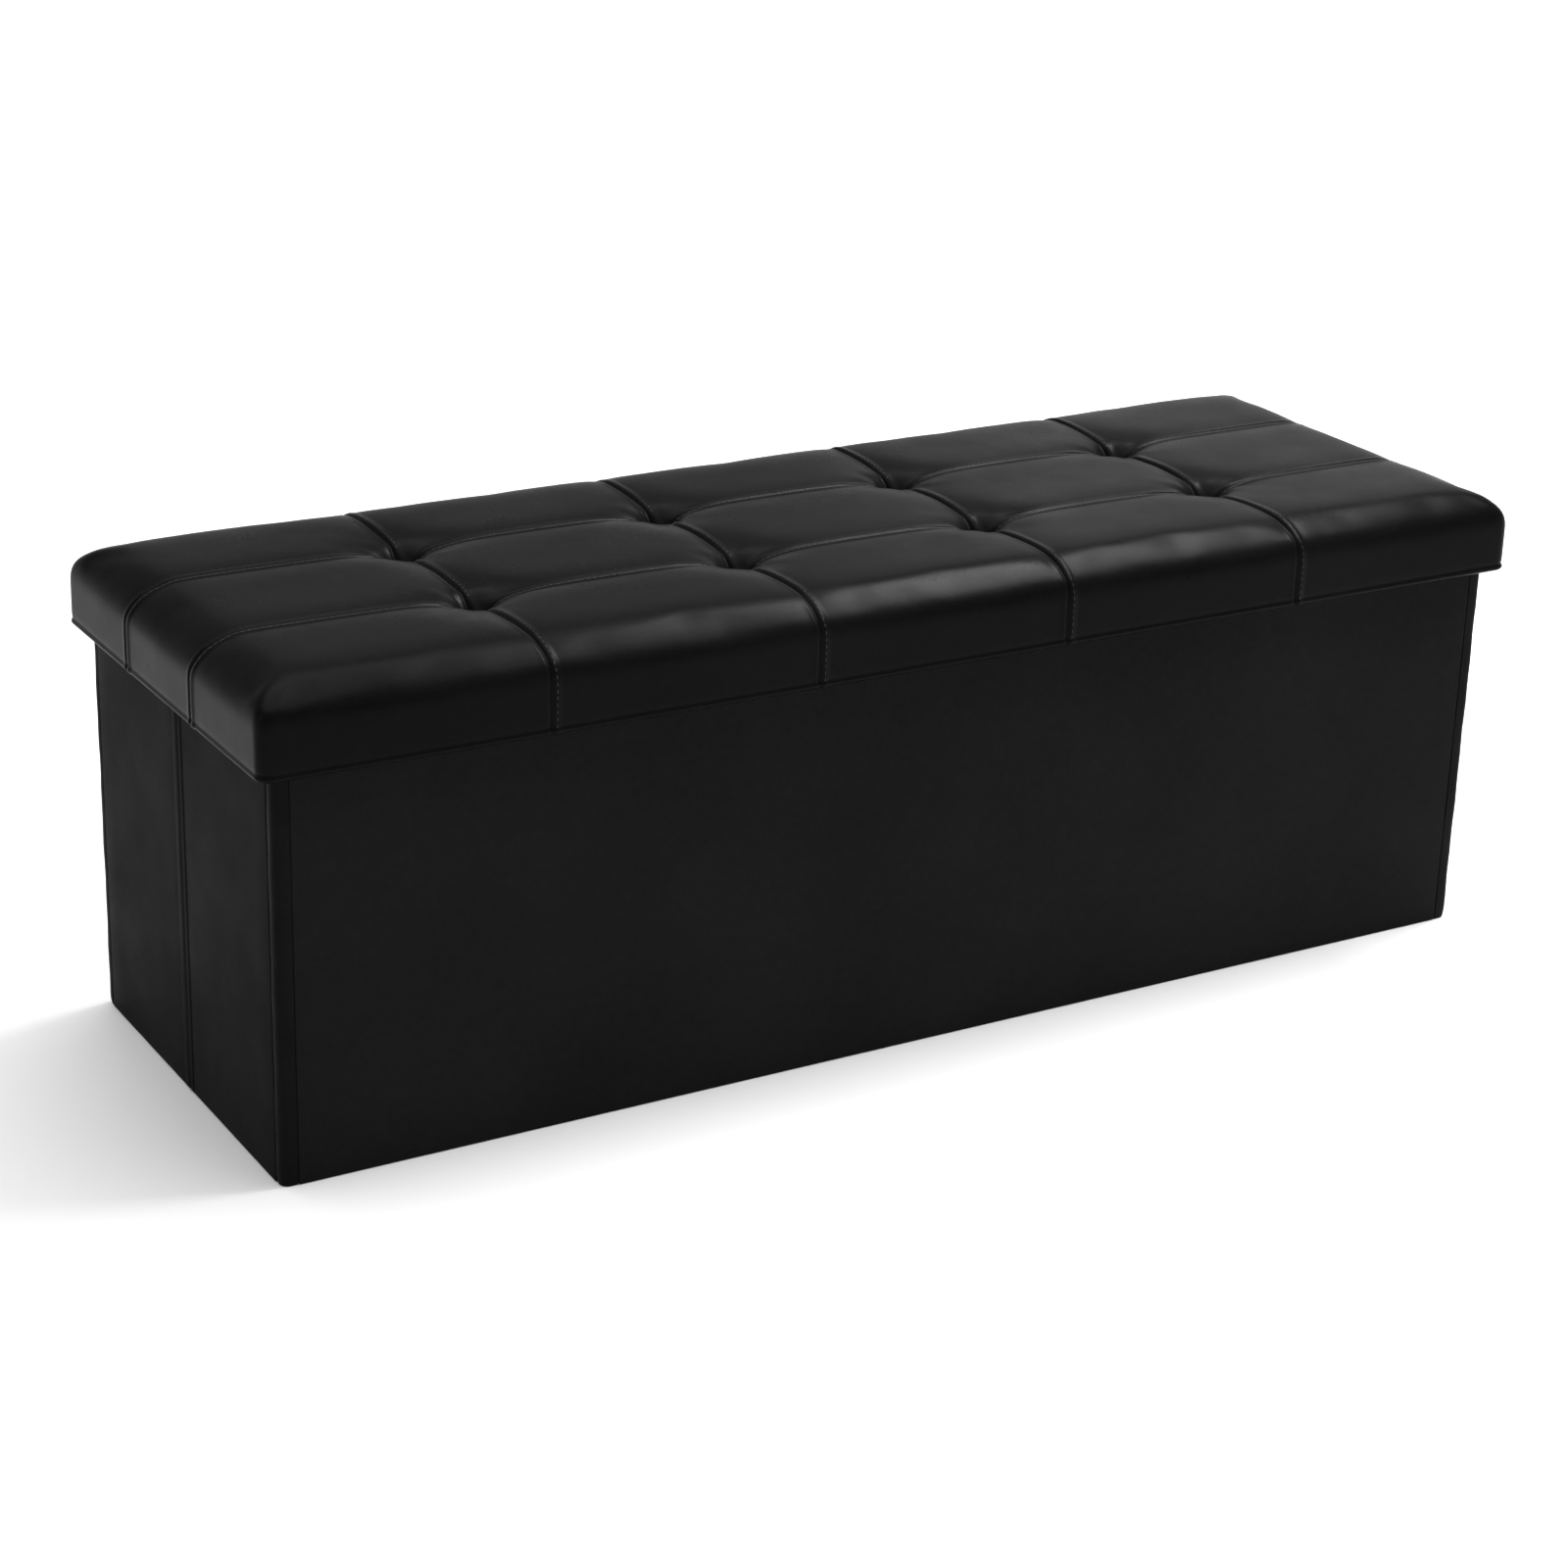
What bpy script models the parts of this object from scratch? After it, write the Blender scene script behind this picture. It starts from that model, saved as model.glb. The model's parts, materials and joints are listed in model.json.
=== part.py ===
"""Folding storage ottoman: a tufted lift-off lid on a box of upholstered boards.

Metres, +Z up. The origin is on the floor under the middle of the lid. X runs along the
length and the front wall faces -Y. The end walls are split in the middle, so that they
fold in between the front and rear walls, and the base is two leaves that fold up.
"""
import math

import bmesh
import bpy

# Overall size of the closed ottoman
LENGTH = 1.100
DEPTH = 0.380
HEIGHT = 0.380

# Where neighbouring pieces stop short of each other
GAP = 0.0003

# Wall panels: leatherette outside, board, lining inside
OVERHANG = 0.013
WALL_THICKNESS = 0.011
WALL_TOP = 0.3415
WALL_SKIN = 0.0010
LINING = 0.0010
SPINE_WIDTH = 0.013
SPINE_RADIUS = 0.006
PANEL_CLEARANCE = 0.0005

# Fold lines: each pivot lies a little off the faces that it joins
CORNER_PIVOT_OFFSET = 0.0035
CENTRE_PIVOT_OFFSET = 0.0012
CORNER_HINGE_RADIUS = 0.0022
CENTRE_HINGE_RADIUS = 0.0008
CORNER_HINGE_SPAN = (0.012, 0.335)
CENTRE_HINGE_SPAN = (0.004, 0.310)

# Folding base
BASE_BOTTOM = 0.0005
BASE_BOARD = 0.0030
BASE_COVER = 0.0008
GUSSET_CLEARANCE = 0.0008
TAB_LENGTH = 0.090
TAB_WIDTH = 0.025
TAB_THICKNESS = 0.0012
TAB_FROM_CENTRE = 0.0275

# Lid
LID_BOTTOM = 0.315
LID_SKIN = 0.0012
LID_CORNER_RADIUS = 0.009
LID_TOP_RADIUS = 0.0085
RIM_THICKNESS = 0.0085
LID_LINING = 0.0009
ANCHOR_THICKNESS = 0.0012
ANCHOR_RADIUS = 0.009
LID_BOARD = 0.008
TIE_RADIUS = 0.0012
TIE_HOLE_RADIUS = 0.0020
TIE_TOP = 0.360
COLUMNS = 5
ROWS = 3

# Worked out from the sizes above
BOX_X = LENGTH / 2 - OVERHANG
BOX_Y = DEPTH / 2 - OVERHANG
INNER_X = BOX_X - WALL_THICKNESS
INNER_Y = BOX_Y - WALL_THICKNESS
CORNER_X = INNER_X - CORNER_PIVOT_OFFSET
CORNER_Y = INNER_Y - CORNER_PIVOT_OFFSET
CENTRE_X = BOX_X + CENTRE_PIVOT_OFFSET
BASE_COVER_BOTTOM = BASE_BOTTOM + BASE_BOARD + GAP
TAB_BOTTOM = BASE_COVER_BOTTOM + BASE_COVER + GAP
BASE_PIVOT_Y = INNER_Y - GAP
BASE_PIVOT_Z = TAB_BOTTOM + TAB_THICKNESS + GAP
LID_LINING_BOTTOM = WALL_TOP + GAP
ANCHOR_BOTTOM = LID_LINING_BOTTOM + LID_LINING + GAP
LID_BOARD_BOTTOM = ANCHOR_BOTTOM + ANCHOR_THICKNESS + GAP
FOAM_BOTTOM = LID_BOARD_BOTTOM + LID_BOARD + GAP
LID_CORE_INSET = LID_SKIN + GAP
RIM_INSET = LID_CORE_INSET + RIM_THICKNESS

COLLECTION_NAME = "folding_storage_ottoman"


def clear_scene():
    for obj in list(bpy.data.objects):
        bpy.data.objects.remove(obj, do_unlink=True)


def new_collection(name):
    collection = bpy.data.collections.new(name)
    bpy.context.scene.collection.children.link(collection)
    return collection


def new_material(name, colour, roughness, metallic=0.0):
    material = bpy.data.materials.new(name)
    material.use_nodes = True
    shader = material.node_tree.nodes["Principled BSDF"]
    shader.inputs["Base Color"].default_value = (*colour, 1.0)
    shader.inputs["Roughness"].default_value = roughness
    shader.inputs["Metallic"].default_value = metallic
    return material


def leatherette(name):
    return new_material(name, (0.010, 0.010, 0.011), 0.42)


def nonwoven(name):
    return new_material(name, (0.022, 0.022, 0.024), 0.95)


def fibreboard(name):
    return new_material(name, (0.33, 0.22, 0.12), 0.85)


def polyfoam(name):
    return new_material(name, (0.80, 0.76, 0.62), 0.95)


def twine(name):
    return new_material(name, (0.045, 0.045, 0.048), 0.80)


def black_plastic(name):
    return new_material(name, (0.020, 0.020, 0.022), 0.50)


clear_scene()
parts = new_collection(COLLECTION_NAME)
cutters = new_collection("cutters")


class Body:
    """A rigid group of pieces on an empty that stands on the group's joint axis."""

    def __init__(self, name, pivot, parent=None):
        self.pivot = pivot
        self.empty = bpy.data.objects.new("pivot_" + name, None)
        parts.objects.link(self.empty)
        if parent is None:
            self.empty.location = pivot
        else:
            self.empty.parent = parent.empty
            self.empty.location = [a - b for a, b in zip(pivot, parent.pivot)]

    def take(self, obj, place, material):
        obj.parent = self.empty
        obj.location = [a - b for a, b in zip(place, self.pivot)]
        obj.data.materials.append(material(obj.name))
        parts.objects.link(obj)
        return obj


def middle(low, high):
    return [(a + b) / 2 for a, b in zip(low, high)]


def block_mesh(name, low, high, upright_radius=0.0, upright_test=None, top_radius=0.0):
    """A box about its own middle, with chosen upright edges and the top edges rounded."""
    size = [b - a for a, b in zip(low, high)]
    top = size[2] / 2
    shape = bmesh.new()
    bmesh.ops.create_cube(shape, size=1.0)
    bmesh.ops.scale(shape, vec=size, verts=shape.verts)
    if upright_radius:
        upright = [
            edge
            for edge in shape.edges
            if abs(edge.verts[0].co.z - edge.verts[1].co.z) > top
            and (upright_test is None or upright_test(edge.verts[0].co))
        ]
        bmesh.ops.bevel(
            shape, geom=upright, offset=upright_radius, segments=5, profile=0.5, affect="EDGES"
        )
    if top_radius:
        rim = [
            edge
            for edge in shape.edges
            if all(abs(vert.co.z - top) < GAP for vert in edge.verts)
        ]
        bmesh.ops.bevel(
            shape, geom=rim, offset=top_radius, segments=4, profile=0.5, affect="EDGES"
        )
    mesh = bpy.data.meshes.new(name)
    shape.to_mesh(mesh)
    shape.free()
    return mesh


def block(name, body, material, low, high, **rounding):
    obj = bpy.data.objects.new(name, block_mesh(name, low, high, **rounding))
    return body.take(obj, middle(low, high), material)


def cylinder_mesh(name, radius, length, sides):
    shape = bmesh.new()
    bmesh.ops.create_cone(
        shape, cap_ends=True, segments=sides, radius1=radius, radius2=radius, depth=length
    )
    mesh = bpy.data.meshes.new(name)
    shape.to_mesh(mesh)
    shape.free()
    mesh.shade_smooth()
    mesh.set_sharp_from_angle(angle=math.radians(50))
    return mesh


def upright_rod(name, body, material, x, y, span, radius, sides=16):
    obj = bpy.data.objects.new(name, cylinder_mesh(name, radius, span[1] - span[0], sides))
    return body.take(obj, (x, y, (span[0] + span[1]) / 2), material)


def extrusion(name, body, material, outline, thickness, place, rotation=(0, 0, 0)):
    """A flat outline in its own XY plane, thickened evenly to both sides of that plane."""
    curve = bpy.data.curves.new(name, "CURVE")
    curve.dimensions = "2D"
    curve.fill_mode = "BOTH"
    curve.extrude = thickness / 2
    spline = curve.splines.new("POLY")
    spline.points.add(len(outline) - 1)
    for point, (u, v) in zip(spline.points, outline):
        point.co = (u, v, 0.0, 1.0)
    spline.use_cyclic_u = True
    obj = bpy.data.objects.new(name, curve)
    obj.rotation_euler = rotation
    return body.take(obj, place, material)


def arc(centre, radius, start_degrees, end_degrees, steps):
    return [
        (
            centre[0] + radius * math.cos(math.radians(angle)),
            centre[1] + radius * math.sin(math.radians(angle)),
        )
        for angle in (
            start_degrees + (end_degrees - start_degrees) * step / steps
            for step in range(steps + 1)
        )
    ]


def channel_outline(width, height, skin):
    """A channel open towards +u: its back lies at u = 0 and its lips reach u = width."""
    return [
        (0.0, 0.0),
        (width, 0.0),
        (width, skin),
        (skin, skin),
        (skin, height - skin),
        (width, height - skin),
        (width, height),
        (0.0, height),
    ]


def mirrored(outline, flip_u, flip_v):
    return [(u * flip_u, v * flip_v) for u, v in outline]


# ---------------------------------------------------------------- long walls

def long_wall(side, body, sign):
    """Front (sign -1) or rear (sign +1) wall: board, leatherette, lining, corner spines."""
    outer = sign * BOX_Y
    inner = sign * INNER_Y
    board_x = BOX_X - WALL_SKIN - GAP
    low_z = WALL_SKIN + GAP
    high_z = WALL_TOP - WALL_SKIN - GAP

    def between(a, b):
        return min(a, b), max(a, b)

    board = between(outer - sign * (WALL_SKIN + GAP), inner + sign * (LINING + GAP))
    block(
        side + "_wall_board",
        body,
        fibreboard,
        (-board_x, board[0], low_z),
        (board_x, board[1], high_z),
        upright_radius=SPINE_RADIUS - WALL_SKIN,
        upright_test=lambda corner: corner.y * sign > 0,
    )
    lining = between(inner, inner + sign * LINING)
    block(
        side + "_wall_lining",
        body,
        nonwoven,
        (-board_x, lining[0], low_z),
        (board_x, lining[1], high_z),
    )
    # The skin is a channel over the board's face, top and bottom; u runs inwards along Y
    # and v runs up, so the outline's plane is stood on edge and thickened along X.
    cover_x = BOX_X - SPINE_WIDTH - GAP
    extrusion(
        side + "_wall_cover",
        body,
        leatherette,
        mirrored(channel_outline(WALL_THICKNESS, WALL_TOP, WALL_SKIN), -sign, 1),
        2 * cover_x,
        (0.0, outer, 0.0),
        (math.radians(90), 0.0, math.radians(90)),
    )
    for end, x_sign in (("left", -1), ("right", 1)):
        spine(end + "_" + side + "_spine", body, x_sign, sign)


def spine(name, body, x_sign, y_sign):
    """The leatherette strip that turns round a long wall's end, with a rounded corner."""
    centre = (-SPINE_RADIUS, -SPINE_RADIUS)
    outside = arc(centre, SPINE_RADIUS, 90, 0, 6)
    inside = arc(centre, SPINE_RADIUS - WALL_SKIN, 0, 90, 6)
    outline = [(-SPINE_WIDTH, 0.0)]
    outline += outside
    outline += [(0.0, -WALL_THICKNESS), (-WALL_SKIN, -WALL_THICKNESS)]
    outline += inside
    outline += [(-SPINE_WIDTH, -WALL_SKIN)]
    extrusion(
        name,
        body,
        leatherette,
        mirrored(outline, x_sign, y_sign),
        WALL_TOP,
        (x_sign * BOX_X, y_sign * BOX_Y, WALL_TOP / 2),
    )


# ---------------------------------------------------------------- end walls

def end_panel(name, body, x_sign, y_sign):
    """Half of an end wall, from its corner to the fold line in the middle."""
    low_y, high_y = sorted((y_sign * PANEL_CLEARANCE, y_sign * (INNER_Y - PANEL_CLEARANCE)))
    low_z = WALL_SKIN + GAP
    high_z = WALL_TOP - WALL_SKIN - GAP
    board = sorted((x_sign * (BOX_X - WALL_SKIN - GAP), x_sign * (INNER_X + LINING + GAP)))
    block(
        name + "_board",
        body,
        fibreboard,
        (board[0], low_y, low_z),
        (board[1], high_y, high_z),
    )
    lining = sorted((x_sign * INNER_X, x_sign * (INNER_X + LINING)))
    block(
        name + "_lining",
        body,
        nonwoven,
        (lining[0], low_y, low_z),
        (lining[1], high_y, high_z),
    )
    extrusion(
        name + "_cover",
        body,
        leatherette,
        mirrored(channel_outline(WALL_THICKNESS, WALL_TOP, WALL_SKIN), -x_sign, 1),
        high_y - low_y,
        (x_sign * BOX_X, (low_y + high_y) / 2, 0.0),
        (math.radians(90), 0.0, 0.0),
    )


def corner_hinge(name, body, x_sign, y_sign):
    """The rolled fabric hinge that stands on a corner's fold line."""
    upright_rod(
        name,
        body,
        nonwoven,
        x_sign * CORNER_X,
        y_sign * CORNER_Y,
        CORNER_HINGE_SPAN,
        CORNER_HINGE_RADIUS,
    )


def centre_hinge(name, body, x_sign):
    """The narrow welt on the fold line in the middle of an end wall."""
    upright_rod(
        name,
        body,
        leatherette,
        x_sign * CENTRE_X,
        0.0,
        CENTRE_HINGE_SPAN,
        CENTRE_HINGE_RADIUS,
        sides=12,
    )


# ---------------------------------------------------------------- base

def leaf_outline(y_sign):
    """A leaf reaches from its wall to the middle, with ends cut at 45 degrees."""
    wall_y = INNER_Y - PANEL_CLEARANCE - GAP
    reach = wall_y - PANEL_CLEARANCE
    wall_x = INNER_X - PANEL_CLEARANCE
    outline = [
        (-wall_x, -wall_y),
        (wall_x, -wall_y),
        (wall_x - reach, -PANEL_CLEARANCE),
        (reach - wall_x, -PANEL_CLEARANCE),
    ]
    return mirrored(outline, 1, -y_sign)


def base_leaf(name, body, y_sign):
    outline = leaf_outline(y_sign)
    layers = (
        ("_board", fibreboard, BASE_BOTTOM, BASE_BOARD),
        ("_cover", nonwoven, BASE_COVER_BOTTOM, BASE_COVER),
    )
    for suffix, material, bottom, thickness in layers:
        extrusion(
            name + suffix,
            body,
            material,
            outline,
            thickness,
            (0.0, 0.0, bottom + thickness / 2),
        )


def base_gusset(name, body, x_sign):
    """The triangle of cloth between an end wall and the cut ends of the two leaves."""
    wall_x = INNER_X - PANEL_CLEARANCE
    half = INNER_Y - PANEL_CLEARANCE - GAP - GUSSET_CLEARANCE
    outline = [(wall_x, -half), (wall_x, half), (wall_x - half, 0.0)]
    extrusion(
        name,
        body,
        nonwoven,
        mirrored(outline, x_sign, 1),
        BASE_COVER,
        (0.0, 0.0, BASE_BOTTOM + BASE_COVER / 2),
    )


def pull_tab(body):
    """A flat tab with round ends, sewn beside the base's middle seam."""
    radius = TAB_WIDTH / 2
    straight = TAB_LENGTH / 2 - radius
    outline = arc((straight, 0.0), radius, -90, 90, 8)
    outline += arc((-straight, 0.0), radius, 90, 270, 8)
    extrusion(
        "base_pull_tab",
        body,
        nonwoven,
        outline,
        TAB_THICKNESS,
        (0.0, -TAB_FROM_CENTRE, TAB_BOTTOM + TAB_THICKNESS / 2),
    )


# ---------------------------------------------------------------- lid

def tuft_places():
    """The seam crossings: between the five columns and the three rows of panels."""
    for column in range(1, COLUMNS):
        for row in range(1, ROWS):
            yield LENGTH * (column / COLUMNS - 0.5), DEPTH * (row / ROWS - 0.5)


def cutter(name, mesh, place):
    obj = bpy.data.objects.new(name, mesh)
    obj.location = place
    obj.display_type = "WIRE"
    obj.hide_render = True
    cutters.objects.link(obj)
    return obj


def cut(obj, tool):
    modifier = obj.modifiers.new("cut_" + tool.name, "BOOLEAN")
    modifier.operation = "DIFFERENCE"
    modifier.solver = "EXACT"
    modifier.object = tool


def lid_box(inset, bottom, top):
    x = LENGTH / 2 - inset
    y = DEPTH / 2 - inset
    return (-x, -y, bottom), (x, y, top)


def lid_cover(body):
    """The leatherette cap: top, sides and the hem that is turned under the rim."""
    low, high = lid_box(0.0, LID_BOTTOM, HEIGHT)
    cover = block(
        "lid_cover",
        body,
        leatherette,
        low,
        high,
        upright_radius=LID_CORNER_RADIUS,
        top_radius=LID_TOP_RADIUS,
    )
    low, high = lid_box(LID_SKIN, LID_BOTTOM + LID_SKIN, HEIGHT - LID_SKIN)
    hollow = block_mesh(
        "lid_hollow",
        low,
        high,
        upright_radius=LID_CORNER_RADIUS - LID_SKIN,
        top_radius=LID_TOP_RADIUS - LID_SKIN,
    )
    cut(cover, cutter("lid_hollow", hollow, middle(low, high)))
    low, high = lid_box(RIM_INSET, LID_BOTTOM - LID_SKIN, LID_BOTTOM + 2 * LID_SKIN)
    mouth = block_mesh("lid_mouth", low, high)
    cut(cover, cutter("lid_mouth", mouth, middle(low, high)))


def rim_strips(body):
    """Four strips under the lid board, which hang down outside the walls."""
    bottom = LID_BOTTOM + LID_SKIN + GAP
    top = LID_BOARD_BOTTOM - GAP
    outer_x = LENGTH / 2 - LID_CORE_INSET
    outer_y = DEPTH / 2 - LID_CORE_INSET
    inner_x = outer_x - RIM_THICKNESS
    inner_y = outer_y - RIM_THICKNESS
    for side, sign in (("front", -1), ("rear", 1)):
        low_y, high_y = sorted((sign * inner_y, sign * outer_y))
        block(
            "lid_rim_" + side,
            body,
            fibreboard,
            (-outer_x, low_y, bottom),
            (outer_x, high_y, top),
            upright_radius=LID_CORNER_RADIUS - LID_SKIN,
            upright_test=lambda corner, sign=sign: corner.y * sign > 0,
        )
    for side, sign in (("left", -1), ("right", 1)):
        low_x, high_x = sorted((sign * inner_x, sign * outer_x))
        block(
            "lid_rim_" + side,
            body,
            fibreboard,
            (low_x, GAP - inner_y, bottom),
            (high_x, inner_y - GAP, top),
        )


def lid_core(body):
    """The board and the foam on it, both drilled where the tufts are tied down."""
    core_radius = LID_CORNER_RADIUS - LID_SKIN
    low, high = lid_box(LID_CORE_INSET, LID_BOARD_BOTTOM, LID_BOARD_BOTTOM + LID_BOARD)
    board = block("lid_board", body, fibreboard, low, high, upright_radius=core_radius)
    low, high = lid_box(LID_CORE_INSET, FOAM_BOTTOM, HEIGHT - LID_CORE_INSET)
    foam = block(
        "lid_foam",
        body,
        polyfoam,
        low,
        high,
        upright_radius=core_radius,
        top_radius=LID_TOP_RADIUS - LID_SKIN,
    )
    drill_length = 2 * (HEIGHT - LID_BOARD_BOTTOM)
    for number, (x, y) in enumerate(tuft_places(), start=1):
        mesh = cylinder_mesh("drill", TIE_HOLE_RADIUS, drill_length, 12)
        drill = cutter(f"drill_{number}", mesh, (x, y, LID_BOARD_BOTTOM))
        cut(board, drill)
        cut(foam, drill)


def lid_underside(body):
    inset = RIM_INSET + GAP
    low, high = lid_box(inset, LID_LINING_BOTTOM, LID_LINING_BOTTOM + LID_LINING)
    block("lid_lining", body, nonwoven, low, high)
    anchor_span = (ANCHOR_BOTTOM, ANCHOR_BOTTOM + ANCHOR_THICKNESS)
    tie_span = (LID_BOARD_BOTTOM, TIE_TOP)
    for number, (x, y) in enumerate(tuft_places(), start=1):
        name = f"tuft_anchor_{number}"
        upright_rod(name, body, black_plastic, x, y, anchor_span, ANCHOR_RADIUS, sides=20)
        name = f"tuft_tie_{number}"
        upright_rod(name, body, twine, x, y, tie_span, TIE_RADIUS, sides=8)


# ---------------------------------------------------------------- assembly

def build():
    front = Body("front_wall", (0.0, -BOX_Y, 0.0))
    left_front = Body("left_end_front", (-CORNER_X, -CORNER_Y, 0.0), front)
    left_rear = Body("left_end_rear", (-CENTRE_X, 0.0, 0.0), left_front)
    rear = Body("rear_wall", (-CORNER_X, CORNER_Y, 0.0), left_rear)
    right_front = Body("right_end_front", (CORNER_X, -CORNER_Y, 0.0), front)
    right_rear = Body("right_end_rear", (CENTRE_X, 0.0, 0.0), right_front)
    front_leaf = Body("base_front_leaf", (0.0, -BASE_PIVOT_Y, BASE_PIVOT_Z), front)
    rear_leaf = Body("base_rear_leaf", (0.0, BASE_PIVOT_Y, BASE_PIVOT_Z), rear)
    lid = Body("lid", (0.0, 0.0, LID_BOTTOM), front)

    long_wall("front", front, -1)
    long_wall("rear", rear, 1)
    end_panel("left_end_front", left_front, -1, -1)
    end_panel("left_end_rear", left_rear, -1, 1)
    end_panel("right_end_front", right_front, 1, -1)
    end_panel("right_end_rear", right_rear, 1, 1)

    corner_hinge("left_front_hinge", front, -1, -1)
    corner_hinge("right_front_hinge", front, 1, -1)
    corner_hinge("left_rear_hinge", rear, -1, 1)
    corner_hinge("right_rear_hinge", rear, 1, 1)
    centre_hinge("left_centre_hinge", left_front, -1)
    centre_hinge("right_centre_hinge", right_front, 1)

    base_leaf("base_front", front_leaf, -1)
    base_leaf("base_rear", rear_leaf, 1)
    base_gusset("base_left_gusset", front, -1)
    base_gusset("base_right_gusset", front, 1)
    pull_tab(front_leaf)

    lid_cover(lid)
    rim_strips(lid)
    lid_core(lid)
    lid_underside(lid)


build()
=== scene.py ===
import json
import math

import bmesh
import bpy
import numpy as np
from mathutils import Matrix, Vector
from mathutils.bvhtree import BVHTree


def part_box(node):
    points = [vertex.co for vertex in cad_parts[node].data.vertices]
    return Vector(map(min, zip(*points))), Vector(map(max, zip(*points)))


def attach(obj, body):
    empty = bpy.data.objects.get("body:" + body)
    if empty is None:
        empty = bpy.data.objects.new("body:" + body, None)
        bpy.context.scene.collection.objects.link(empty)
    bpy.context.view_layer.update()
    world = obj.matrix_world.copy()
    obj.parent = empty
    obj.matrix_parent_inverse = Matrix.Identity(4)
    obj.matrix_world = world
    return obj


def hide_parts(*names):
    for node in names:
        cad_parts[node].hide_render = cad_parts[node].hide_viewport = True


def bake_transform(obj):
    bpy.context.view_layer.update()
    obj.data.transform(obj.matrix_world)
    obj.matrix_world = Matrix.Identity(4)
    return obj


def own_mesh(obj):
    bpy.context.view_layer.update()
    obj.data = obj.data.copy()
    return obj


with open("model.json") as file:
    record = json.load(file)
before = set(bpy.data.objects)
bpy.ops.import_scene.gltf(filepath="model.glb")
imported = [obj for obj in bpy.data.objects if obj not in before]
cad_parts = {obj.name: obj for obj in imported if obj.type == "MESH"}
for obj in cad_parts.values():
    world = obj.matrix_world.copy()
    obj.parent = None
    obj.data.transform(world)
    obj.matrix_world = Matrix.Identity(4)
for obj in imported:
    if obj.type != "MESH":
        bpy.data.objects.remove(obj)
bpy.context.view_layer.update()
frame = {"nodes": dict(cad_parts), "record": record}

RIMS = ("lid_rim_front", "lid_rim_rear", "lid_rim_left", "lid_rim_right")

# Sizes that the looks share with the frame, in metres
LID_LOW, LID_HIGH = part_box("lid_cover")
FOAM_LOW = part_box("lid_foam")[0]
LINING_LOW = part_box("lid_lining")[0]
RIM_LOW, RIM_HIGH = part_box("lid_rim_front")
SPINE_LOW, SPINE_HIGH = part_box("left_front_spine")
LENGTH = LID_HIGH.x - LID_LOW.x
DEPTH = LID_HIGH.y - LID_LOW.y
TOP = LID_HIGH.z
LID_BOTTOM = LID_LOW.z
WALL_TOP = SPINE_HIGH.z
BOX_X = -SPINE_LOW.x
BOX_Y = -SPINE_LOW.y
WALL = SPINE_HIGH.y - SPINE_LOW.y
SPINE_WIDTH = SPINE_HIGH.x - SPINE_LOW.x
INNER_X = BOX_X - WALL
INNER_Y = BOX_Y - WALL
RIM_THICKNESS = RIM_HIGH.y - RIM_LOW.y

COLUMNS = 5
ROWS = 3
SEAMS_X = [LENGTH * (n / COLUMNS - 0.5) for n in range(1, COLUMNS)]
SEAMS_Y = [DEPTH * (n / ROWS - 0.5) for n in range(1, ROWS)]
TUFTS = [(x, y) for x in SEAMS_X for y in SEAMS_Y]


# ---------------------------------------------------------------- materials

class Nodes:
    """A small helper that adds and links shader nodes of one material."""

    def __init__(self, name):
        self.material = bpy.data.materials.new(name)
        self.material.use_nodes = True
        self.tree = self.material.node_tree
        self.shader = self.tree.nodes["Principled BSDF"]
        coordinates = self.tree.nodes.new("ShaderNodeTexCoord")
        self.place = coordinates.outputs["Object"]

    def add(self, kind, inputs=None, **settings):
        node = self.tree.nodes.new(kind)
        for name, value in settings.items():
            setattr(node, name, value)
        for name, value in (inputs or {}).items():
            if isinstance(value, bpy.types.NodeSocket):
                self.tree.links.new(value, node.inputs[name])
            else:
                node.inputs[name].default_value = value
        return node

    def noise(self, scale, detail=3.0, roughness=0.5, distortion=0.0):
        node = self.add(
            "ShaderNodeTexNoise",
            {
                "Vector": self.place,
                "Scale": scale,
                "Detail": detail,
                "Roughness": roughness,
                "Distortion": distortion,
            },
        )
        return node.outputs["Fac"]

    def cells(self, scale, feature="DISTANCE_TO_EDGE", randomness=1.0):
        node = self.add(
            "ShaderNodeTexVoronoi",
            {"Vector": self.place, "Scale": scale, "Randomness": randomness},
            feature=feature,
        )
        return node.outputs["Distance"]

    def ramp(self, value, stops):
        node = self.add("ShaderNodeValToRGB", {"Fac": value})
        ramp = node.color_ramp
        while len(ramp.elements) < len(stops):
            ramp.elements.new(0.5)
        for element, (position, colour) in zip(ramp.elements, stops):
            element.position = position
            element.color = (*colour, 1.0)
        return node.outputs["Color"]

    def remap(self, value, low, high, to_low, to_high):
        node = self.add(
            "ShaderNodeMapRange",
            {
                "Value": value,
                "From Min": low,
                "From Max": high,
                "To Min": to_low,
                "To Max": to_high,
            },
        )
        return node.outputs["Result"]

    def math(self, operation, a, b=0.0):
        node = self.add("ShaderNodeMath", operation=operation)
        for socket, value in zip(node.inputs, (a, b)):
            if isinstance(value, bpy.types.NodeSocket):
                self.tree.links.new(value, socket)
            else:
                socket.default_value = value
        return node.outputs[0]

    def bump(self, height, distance, strength=1.0, under=None):
        inputs = {"Height": height, "Distance": distance, "Strength": strength}
        if under is not None:
            inputs["Normal"] = under
        return self.add("ShaderNodeBump", inputs).outputs["Normal"]

    def finish(self, colour, roughness, normal, **fixed):
        self.tree.links.new(colour, self.shader.inputs["Base Color"])
        self.tree.links.new(roughness, self.shader.inputs["Roughness"])
        self.tree.links.new(normal, self.shader.inputs["Normal"])
        for name, value in fixed.items():
            self.shader.inputs[name.replace("_", " ")].default_value = value
        return self.material


# Leatherette: pebbles per metre, and the height of the grain's relief
PEBBLE_SCALE = 720.0
GRAIN_RELIEF = 0.00003


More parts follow.
